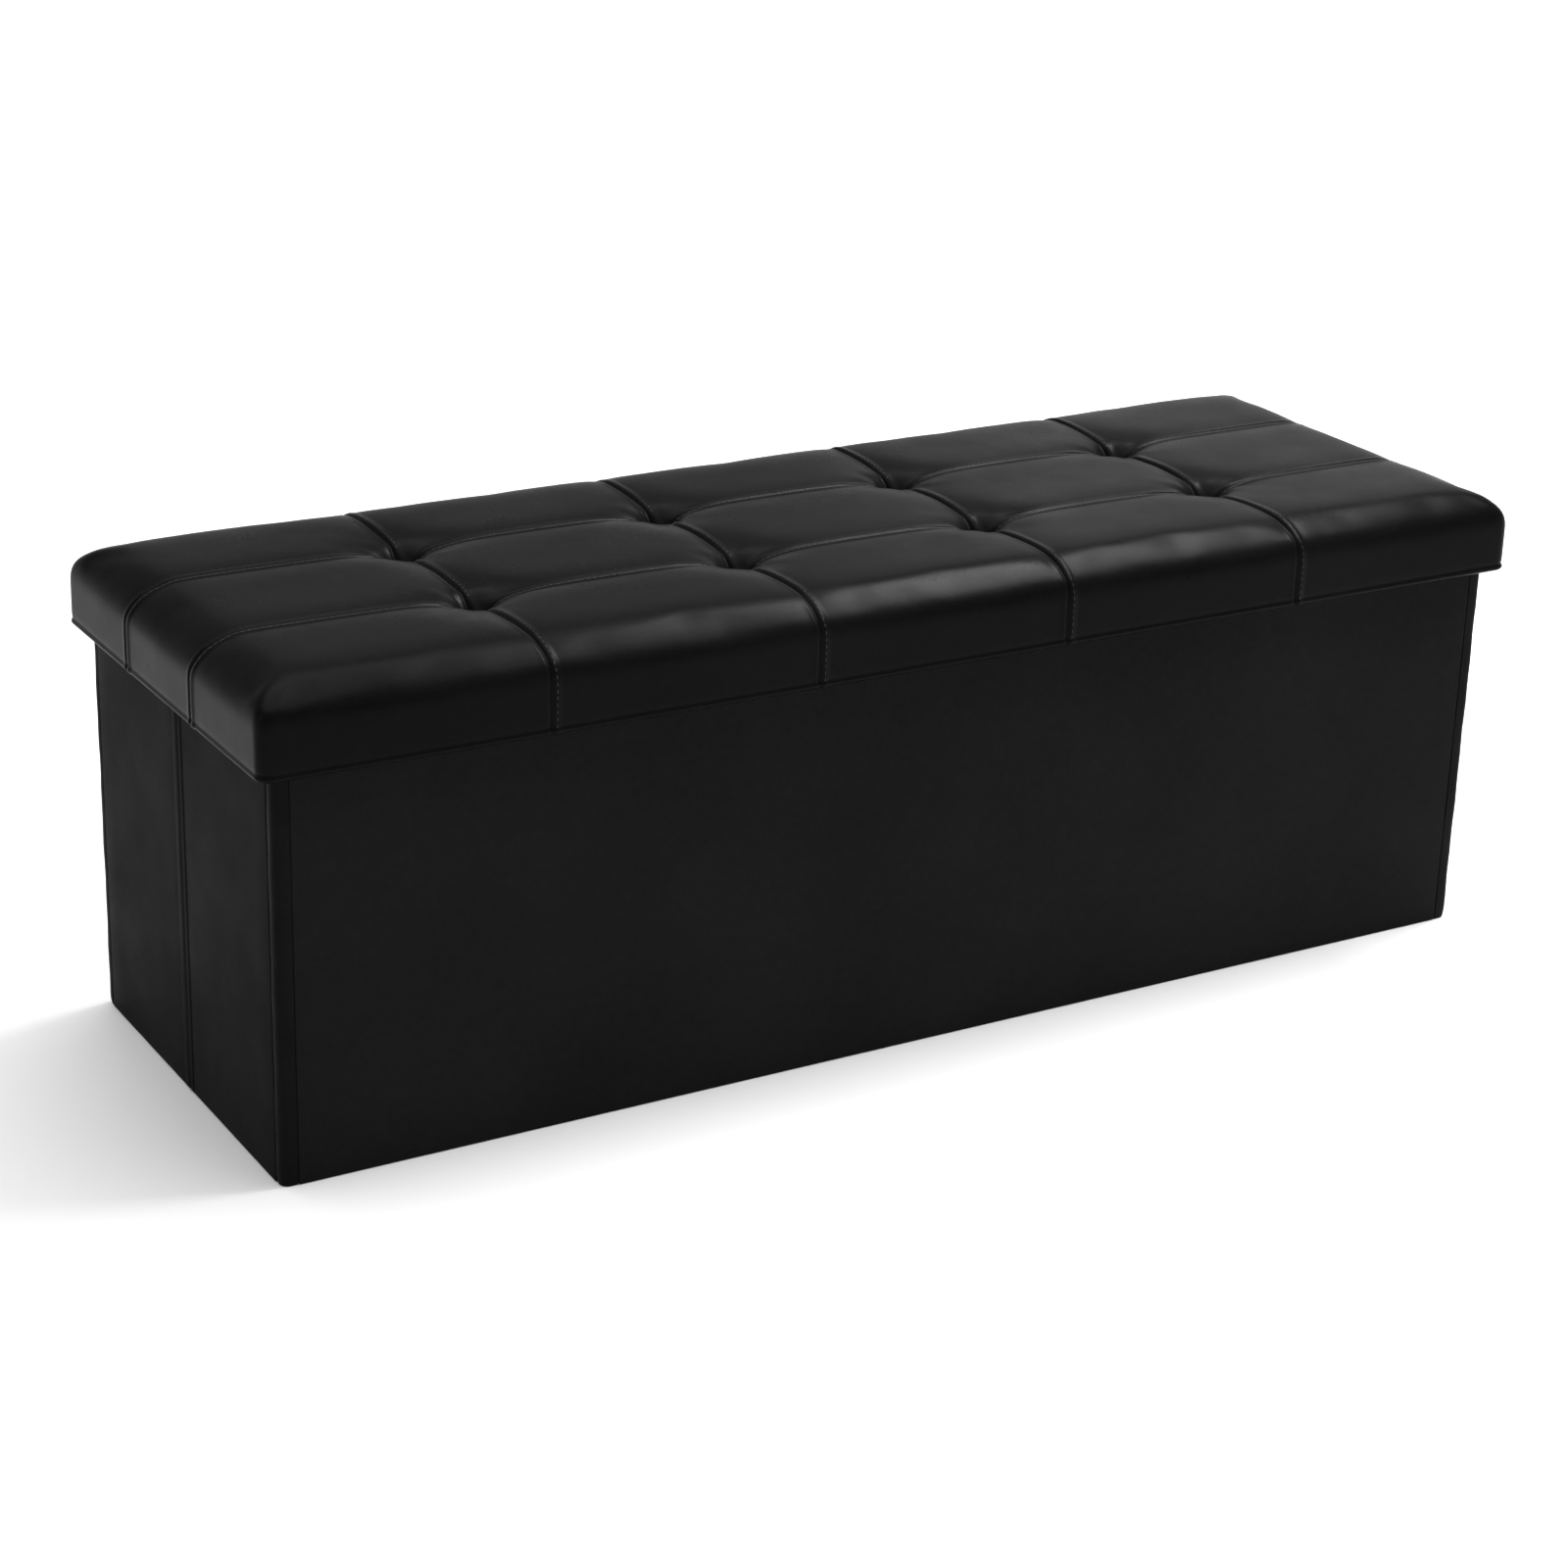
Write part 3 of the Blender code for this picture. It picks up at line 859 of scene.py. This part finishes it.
def panel_skin(name, body, cover, nodes, inward):
    """A board panel wrapped in leatherette, with soft edges and a faintly slack outer face."""
    low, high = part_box(cover)
    low_x, low_y, high_x, high_y = low.x, low.y, high.x, high.y
    if inward[0] > 0:
        high_x -= PANEL_GAP
    elif inward[0] < 0:
        low_x += PANEL_GAP
    elif inward[1] > 0:
        high_y -= PANEL_GAP
    else:
        low_y += PANEL_GAP
    face_x = low_x if inward[0] > 0 else high_x
    face_y = low_y if inward[1] > 0 else high_y
    levels = [0.0, 0.0002, 0.0005, 0.0010, 0.0016] + spaced(0.010, WALL_TOP - 0.010, 0.016)
    levels += [WALL_TOP - inset for inset in (0.0016, 0.0010, 0.0005, 0.0002, 0.0)]
    rings = []
    for z in levels:
        inset = rounding(PANEL_SOFT, min(z, WALL_TOP - z))
        outline = panel_outline(
            (low_x + inset, low_y + inset), (high_x - inset, high_y - inset), PANEL_CORNER
        )
        ring = []
        for x, y in outline:
            u = (x - low_x) / (high_x - low_x)
            v = (y - low_y) / (high_y - low_y)
            w = z / WALL_TOP
            along = u if inward[1] else v
            calm = min(1.0, 12 * along, 12 * (1 - along)) * min(1.0, 8 * w, 8 * (1 - w))
            wave = 1 + math.sin(along * 23.0 + w * 4.0)
            slack = PANEL_SLACK * wave * math.sin(w * 9.0 + along * 5.0) ** 2
            if inward[0] and abs(x - face_x) < ON_FACE:
                x -= inward[0] * calm * slack
            if inward[1] and abs(y - face_y) < ON_FACE:
                y -= inward[1] * calm * slack
            ring.append((x, y, z))
        rings.append(ring)
    points, faces = loft(rings)
    obj = new_object(name, mesh_from(name, points, faces), WALL_LEATHER)
    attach(obj, body)
    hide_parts(*nodes)


def wall_panels():
    """The skins of the two long walls and of the four half end walls."""
    for body, inward in (("front_wall", (0, 1)), ("rear_wall", (0, -1))):
        nodes = (body + "_cover", body + "_board")
        panel_skin(body + "_skin", body, body + "_cover", nodes, inward)
    for side, turn in (("left", 1), ("right", -1)):
        for half in ("front", "rear"):
            body = f"{side}_end_{half}"
            nodes = (body + "_cover", body + "_board")
            panel_skin(body + "_skin", body, body + "_cover", nodes, (turn, 0))


def centre_welt(name, side, bead):
    """The outside cloth of an end wall's middle fold: a tight bead between two pressed creases."""
    middle = BOX_X + 0.00034
    path = []
    for y in [-step for step in reversed(WELT_STEPS)] + [0.0] + list(WELT_STEPS):
        ridge = 0.0009 * math.exp(-((y / 0.0011) ** 2))
        crease = 0.00010 * math.exp(-(((abs(y) - 0.0024) / 0.0007) ** 2))
        path.append((side * (middle + (ridge - crease)), side * y))
    levels = spaced(*WELT_ENDS, 0.008)
    obj = new_object(name, strip_mesh(name, path, levels, 0.00040), WALL_LEATHER)
    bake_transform(obj)
    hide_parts(bead)


def corner_cove(name, side_x, side_y, bodies, hinge):
    """Lining cloth that turns the inside corner between a long wall and an end wall.

    The fold is opened at one corner, so the strip there has one body.
    """
    pivot_x, pivot_y, reach = INNER_X - COVE_INSET, INNER_Y - COVE_INSET, COVE_RADIUS
    path = [(pivot_x - run, pivot_y + reach) for run in (0.0130, 0.0110, 0.0080, 0.0050, 0.0020)]
    for step in range(9):
        angle = math.pi / 2 * (1 - step / 8)
        path.append((pivot_x + reach * math.cos(angle), pivot_y + reach * math.sin(angle)))
    path += [(pivot_x + reach, pivot_y - run) for run in (0.0015, 0.0030, 0.0045, 0.0060)]
    path = [(side_x * x, side_y * y) for x, y in path]
    levels = spaced(*COVE_ENDS, 0.010)
    obj = new_object(name, strip_mesh(name, path, levels, 0.0005, ripple=0.00006), NONWOVEN)
    if len(bodies) == 2:
        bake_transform(obj)
    else:
        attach(obj, bodies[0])
        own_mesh(obj)
    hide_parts(hinge)


def gusset_cloth(name, side, gusset):
    """The cloth triangle between the base leaves and an end wall, creased along its middle."""
    low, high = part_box(gusset)
    wide, long = high.y - low.y, high.x - low.x
    rows, columns, half_thickness = 30, 40, 0.00025
    top, bottom = [], []
    for row in range(rows + 1):
        v = row / rows
        half = wide / 2 * (1 - v) + 0.0006 * v
        for column in range(columns + 1):
            u = 2 * column / columns - 1
            x = side * (BOX_X - 0.0115 - long * v)
            y = u * half
            crease = 0.0013 * math.exp(-((y / 0.004) ** 2)) * (1 - v * 0.6)
            wave = 0.00028 * (1 + math.sin(y * 190.0 + v * 9.0)) * math.sin(math.pi * v)
            edge = min(1.0, 8 * min(v, 1 - v, (1 - abs(u)) * (1 - v)))
            z = low.z + 0.00035 + (crease + wave) * edge
            top.append((x, y, z + half_thickness))
            bottom.append((x, y, z - half_thickness))
    count = len(top)
    width = columns + 1
    faces = []
    for row in range(rows):
        for column in range(columns):
            a = row * width + column
            quad = (a, a + 1, a + 1 + width, a + width)
            faces.append(quad)
            faces.append(tuple(count + n for n in reversed(quad)))
    rim = list(range(width)) + [row * width + columns for row in range(1, rows + 1)]
    rim += [rows * width + n for n in range(columns - 1, -1, -1)]
    rim += [row * width for row in range(rows - 1, 0, -1)]
    for a, b in zip(rim, rim[1:] + rim[:1]):
        faces.append((b, a, count + a, count + b))
    mesh = mesh_from(name, top + bottom, faces)
    face_outwards(mesh)
    obj = new_object(name, mesh, NONWOVEN)
    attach(obj, "front_wall")
    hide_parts(gusset)
    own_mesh(obj)


def pull_loop():
    """Webbing loop on the front base leaf: stitched flat at both ends and arched between them."""
    low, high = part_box("base_pull_tab")
    middle_y, half_width = (low.y + high.y) / 2, (high.y - low.y) / 2
    steps, across = 48, 12
    rings = []
    for step in range(steps + 1):
        t = step / steps
        x = low.x + (high.x - low.x) * t
        free = max(0.0, min(1.0, (0.5 - abs(t - 0.5) - 0.17) / 0.12))
        arch = 0.0065 * free * free * (3 - 2 * free)
        round_end = min(1.0, (0.5 - abs(t - 0.5)) / 0.03)
        half = half_width * (0.86 + 0.14 * math.sqrt(round_end))
        rise = low.z + 0.0001 + arch
        ring = []
        for n in range(across + 1):
            u = 2 * n / across - 1
            rim = 0.0002 * (1 - u**8)
            ring.append((x, middle_y + u * half, rise + 0.0007 + rim))
        for n in range(across, -1, -1):
            u = 2 * n / across - 1
            ring.append((x, middle_y + u * half, rise))
        rings.append(ring)
    mesh = mesh_from("pull_loop", *loft(rings))
    face_outwards(mesh)
    obj = new_object("pull_loop", mesh, WEBBING)
    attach(obj, "base_front_leaf")
    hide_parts("base_pull_tab")
    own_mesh(obj)
    stitches = []
    sewn_z = low.z + 0.0009
    for side in (-1, 1):
        near, far = side * 0.0415, side * 0.0315
        y0, y1 = middle_y - half_width + 0.003, middle_y + half_width - 0.003
        corners = [(near, y0), (near, y1), (far, y1), (far, y0), (near, y0), (far, y1)]
        for (ax, ay), (bx, by) in zip(corners, corners[1:]):
            stitches += run_of_stitches((ax, ay, sewn_z), (bx, by, sewn_z), 0.0030)
    sewn = stitch_object("pull_loop_stitches", stitches, 0.00028, THREAD)
    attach(sewn, "base_front_leaf")


# ---------------------------------------------------------------- stitching

# The share of its pitch that a stitch covers, and the rings of its bead: (place along it,
# share of its radius, how far it is sunk in radii)
STITCH_SHARE = 0.68
BEAD_SIDES = 6
BEAD_RINGS = (
    (0.0, 0.45, 0.9),
    (0.18, 0.9, 0.15),
    (0.5, 1.0, 0.0),
    (0.82, 0.9, 0.15),
    (1.0, 0.45, 0.9),
)

# The lid's topstitching: its distance from the seam, pitch, stitch length, and how near a tuft
# it stops
TOPSTITCH_OFFSET = 0.0042
TOPSTITCH_PITCH = 0.0052
TOPSTITCH_LENGTH = 0.0036
TOPSTITCH_STOP = 0.014

# Rays that find the lid's surface: how far in the roll's centre lies, and the rays' spacing
SHOULDER = 0.028
RAY_STEP = 0.001
ROLL_RAYS = 40

# The lining's staples: their spacing and half their length
STAPLE_PITCH = 0.045
STAPLE_HALF = 0.005


def run_of_stitches(start, end, pitch):
    """Short straight stitches, end to end, from one point towards another."""
    start, end = Vector(start), Vector(end)
    count = max(1, round((end - start).length / pitch))
    made = []
    for n in range(count):
        a = start.lerp(end, (n + (1 - STITCH_SHARE) / 2) / count)
        b = start.lerp(end, (n + (1 + STITCH_SHARE) / 2) / count)
        made.append((a, b, Vector((0, 0, 1))))
    return made


def stitch_object(name, stitches, radius, material):
    """Every stitch is a small tapered bead of thread with its ends pulled under the surface."""
    points, faces = [], []
    sides = BEAD_SIDES
    last = len(BEAD_RINGS) - 1
    for start, end, up in stitches:
        along = (end - start).normalized()
        across = along.cross(up).normalized()
        above = across.cross(along)
        base = len(points)
        for t, size, sink in BEAD_RINGS:
            centre = start.lerp(end, t) - above * radius * sink
            for n in range(sides):
                angle = 2 * math.pi * n / sides
                offset = across * math.cos(angle) + above * math.sin(angle)
                points.append(centre + offset * radius * size)
        for ring in range(last):
            for n in range(sides):
                a = base + ring * sides + n
                b = base + ring * sides + (n + 1) % sides
                faces.append((a, b, b + sides, a + sides))
        faces.append(tuple(base + n for n in reversed(range(sides))))
        faces.append(tuple(base + last * sides + n for n in range(sides)))
    mesh = mesh_from(name, points, faces)
    face_outwards(mesh)
    return new_object(name, mesh, material)


def section_rays(half):
    """Starts and directions of rays that walk up one face, over the top and down the other."""
    rays = []
    centre_u, centre_z = -half + SHOULDER, TOP - SHOULDER
    for z in spaced(LID_BOTTOM + 0.005, centre_z, RAY_STEP):
        rays.append(((-half - 0.03, z), (1.0, 0.0)))
    for step in range(1, ROLL_RAYS):
        angle = math.pi / 2 * step / ROLL_RAYS
        du, dz = math.cos(angle), -math.sin(angle)
        rays.append(((centre_u - 0.06 * du, centre_z - 0.06 * dz), (du, dz)))
    for across in spaced(centre_u, half - SHOULDER, RAY_STEP):
        rays.append(((across, TOP + 0.03), (0.0, -1.0)))
    mirrored = [((-u, z), (-du, dz)) for (u, z), (du, dz) in rays if u < centre_u - 1e-6]
    return rays + mirrored[::-1]


def along_walk(distances, walked, values):
    """Values between the points of a walk, at distances along it."""
    return np.stack([np.interp(distances, walked, values[:, k]) for k in range(3)], axis=1)


def lid_stitching(cushion):
    """Topstitching beside each seam of the lid, laid on the finished surface."""
    tree = BVHTree.FromPolygons(
        [vertex.co.copy() for vertex in cushion.data.vertices],
        [tuple(face.vertices) for face in cushion.data.polygons],
    )
    runs = []
    for seam in SEAMS_X:
        place = seam + TOPSTITCH_OFFSET
        runs.append([
            tree.ray_cast(Vector((place, u, z)), Vector((0.0, du, dz)))
            for (u, z), (du, dz) in section_rays(DEPTH / 2)
        ])
    for seam in SEAMS_Y:
        place = seam - TOPSTITCH_OFFSET
        runs.append([
            tree.ray_cast(Vector((u, place, z)), Vector((du, 0.0, dz)))
            for (u, z), (du, dz) in section_rays(LENGTH / 2)
        ])
    crossings = [Vector((x, y)) for x, y in TUFTS]
    stitches = []
    for run in runs:
        hits = [(hit[0], hit[1]) for hit in run if hit[0] is not None]
        places = np.array([point for point, _ in hits])
        ups = np.array([normal for _, normal in hits])
        steps = np.linalg.norm(np.diff(places, axis=0), axis=1)
        walked = np.concatenate([[0.0], np.cumsum(steps)])
        begins = np.arange(0.0008, walked[-1] - 0.0045, TOPSTITCH_PITCH)
        starts = along_walk(begins, walked, places)
        stops = along_walk(begins + TOPSTITCH_LENGTH, walked, places)
        upward = along_walk(begins + TOPSTITCH_LENGTH / 2, walked, ups)
        for start, stop, up in zip(starts, stops, upward):
            start, stop, up = Vector(start), Vector(stop), Vector(up)
            if min((start.xy - crossing).length for crossing in crossings) > TOPSTITCH_STOP:
                stitches.append((start, stop, up))
    sewn = stitch_object("lid_stitching", stitches, 0.00026, THREAD)
    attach(sewn, "lid")


def tuft_knots(cushion):
    """A crossed stitch pulls down the bottom of each tuft."""
    crosses = []
    for x, y in TUFTS:
        distances = [(vertex.co.xy - Vector((x, y))).length for vertex in cushion.data.vertices]
        depth = cushion.data.vertices[int(np.argmin(distances))].co.z + 0.0002
        for dx, dy in ((0.0032, 0.0009), (-0.0009, 0.0032)):
            start, end = Vector((x - dx, y - dy, depth)), Vector((x + dx, y + dy, depth))
            crosses.append((start, end, Vector((0, 0, 1))))
    knots = stitch_object("tuft_knots", crosses, 0.0007, THREAD)
    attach(knots, "lid")
    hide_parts(*[f"tuft_tie_{n}" for n in range(1, 9)])


def lining_staples():
    """A row of staples that holds the lid's lining, inside the line of the walls."""
    z = LINING_LOW.z + 0.00008
    x_edge, y_edge = INNER_X - 0.011, INNER_Y - 0.011
    staples = []
    down = Vector((0, 0, -1))
    for x in spaced(-x_edge, x_edge, STAPLE_PITCH):
        for y in (-y_edge, y_edge):
            ends = Vector((x - STAPLE_HALF, y, z)), Vector((x + STAPLE_HALF, y, z))
            staples.append((*ends, down))
    for y in spaced(-y_edge + STAPLE_PITCH, y_edge - STAPLE_PITCH, STAPLE_PITCH):
        for x in (-x_edge, x_edge):
            ends = Vector((x, y - STAPLE_HALF, z)), Vector((x, y + STAPLE_HALF, z))
            staples.append((*ends, down))
    row = stitch_object("lining_staples", staples, 0.00025, STAPLE_STEEL)
    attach(row, "lid")


# ---------------------------------------------------------------- camera, light and floor

# An unshifted camera at the photograph's viewing angle: angles in radians, place in metres
LENS_MM = 80.0
CAMERA_YAW = -0.5397
CAMERA_PITCH = 0.3762
CAMERA_ROLL = 0.0304
CAMERA_PLACE = Vector((-1.3680, -2.2430, 1.1910))


def add_camera():
    data = bpy.data.cameras.new("camera")
    data.lens = LENS_MM
    data.sensor_width = 36.0
    camera = bpy.data.objects.new("camera", data)
    bpy.context.scene.collection.objects.link(camera)
    level = Matrix.Rotation(math.pi / 2 - CAMERA_PITCH, 4, "X")
    camera.matrix_world = (
        Matrix.Translation(CAMERA_PLACE)
        @ Matrix.Rotation(CAMERA_YAW, 4, "Z")
        @ level
        @ Matrix.Rotation(CAMERA_ROLL, 4, "Z")
    )
    bpy.context.scene.camera = camera


def add_lamp(name, place, target, size, power):
    data = bpy.data.lights.new(name, "AREA")
    data.shape = "RECTANGLE"
    data.size, data.size_y = size
    data.energy = power
    lamp = bpy.data.objects.new(name, data)
    bpy.context.scene.collection.objects.link(lamp)
    lamp.location = place
    aim = Vector(target) - Vector(place)
    lamp.rotation_euler = aim.to_track_quat("-Z", "Y").to_euler()


def add_overhead():
    """A broad even light from straight above, with soft edges to its shadows."""
    data = bpy.data.lights.new("overhead", "SUN")
    data.energy = 2.95
    data.angle = math.radians(70)
    lamp = bpy.data.objects.new("overhead", data)
    bpy.context.scene.collection.objects.link(lamp)
    lamp.rotation_euler = (math.radians(-8), math.radians(6), 0.0)


# Upward slope of the view where the white horizon starts and stops fading, and its strengths
# before and after
HORIZON_FADE = (0.02, 0.30, 1.0, 0.25)

# Softboxes: name, place, target, size and power
SOFTBOXES = (
    ("right_softbox", (1.45, -0.05, 2.45), (0.25, -0.15, 0.35), (1.8, 0.30), 92.0),
    ("left_softbox", (-2.4, -0.2, 1.3), (-0.5, 0.0, 0.2), (1.0, 1.0), 3.5),
    ("rear_softbox", (2.7, 2.6, 1.5), (0.5, 0.1, 0.35), (1.6, 1.2), 3.5),
)


def add_lights():
    """A white horizon that fades upwards, the overhead light and three softboxes."""
    world = bpy.data.worlds.new("studio")
    bpy.context.scene.world = world
    world.use_nodes = True
    tree = world.node_tree
    background = tree.nodes["Background"]
    background.inputs["Color"].default_value = (1.0, 1.0, 1.0, 1.0)
    direction = tree.nodes.new("ShaderNodeTexCoord")
    split = tree.nodes.new("ShaderNodeSeparateXYZ")
    fade = tree.nodes.new("ShaderNodeMapRange")
    fade.interpolation_type = "SMOOTHSTEP"
    for name, value in zip(("From Min", "From Max", "To Min", "To Max"), HORIZON_FADE):
        fade.inputs[name].default_value = value
    tree.links.new(direction.outputs["Generated"], split.inputs["Vector"])
    tree.links.new(split.outputs["Z"], fade.inputs["Value"])
    tree.links.new(fade.outputs["Result"], background.inputs["Strength"])
    add_overhead()
    for name, place, target, size, power in SOFTBOXES:
        add_lamp(name, place, target, size, power)


def add_floor():
    mesh = mesh_from(
        "floor",
        [(-30, -30, 0), (30, -30, 0), (30, 30, 0), (-30, 30, 0)],
        [(0, 1, 2, 3)],
        smooth=False,
    )
    n = Nodes("floor")
    drift = n.noise(0.5)
    colour = n.ramp(drift, [(0.3, (0.83, 0.83, 0.83)), (0.7, (0.85, 0.85, 0.85))])
    rough = n.remap(drift, 0.3, 0.7, 0.8, 0.85)
    material = n.finish(colour, rough, n.bump(drift, 0.0001))
    new_object("floor", mesh, material)


dress_cad_nodes()
cushion = lid_cushion()
lid_stitching(cushion)
tuft_knots(cushion)
lining_staples()
wall_panels()
corner_binding("left_front_binding", -1, -1, "front_wall", "left_front_spine")
corner_binding("right_front_binding", 1, -1, "front_wall", "right_front_spine")
corner_binding("left_rear_binding", -1, 1, "rear_wall", "left_rear_spine")
corner_binding("right_rear_binding", 1, 1, "rear_wall", "right_rear_spine")
centre_welt("left_centre_welt", -1, "left_centre_hinge")
centre_welt("right_centre_welt", 1, "right_centre_hinge")
corner_cove("left_front_cove", -1, -1, ("front_wall", "left_end_front"), "left_front_hinge")
corner_cove("right_front_cove", 1, -1, ("front_wall", "right_end_front"), "right_front_hinge")
corner_cove("left_rear_cove", -1, 1, ("rear_wall", "left_end_rear"), "left_rear_hinge")
corner_cove("right_rear_cove", 1, 1, ("rear_wall",), "right_rear_hinge")
gusset_cloth("left_gusset_cloth", -1, "base_left_gusset")
gusset_cloth("right_gusset_cloth", 1, "base_right_gusset")
pull_loop()
add_camera()
add_lights()
add_floor()
bpy.context.scene.view_settings.view_transform = "Standard"
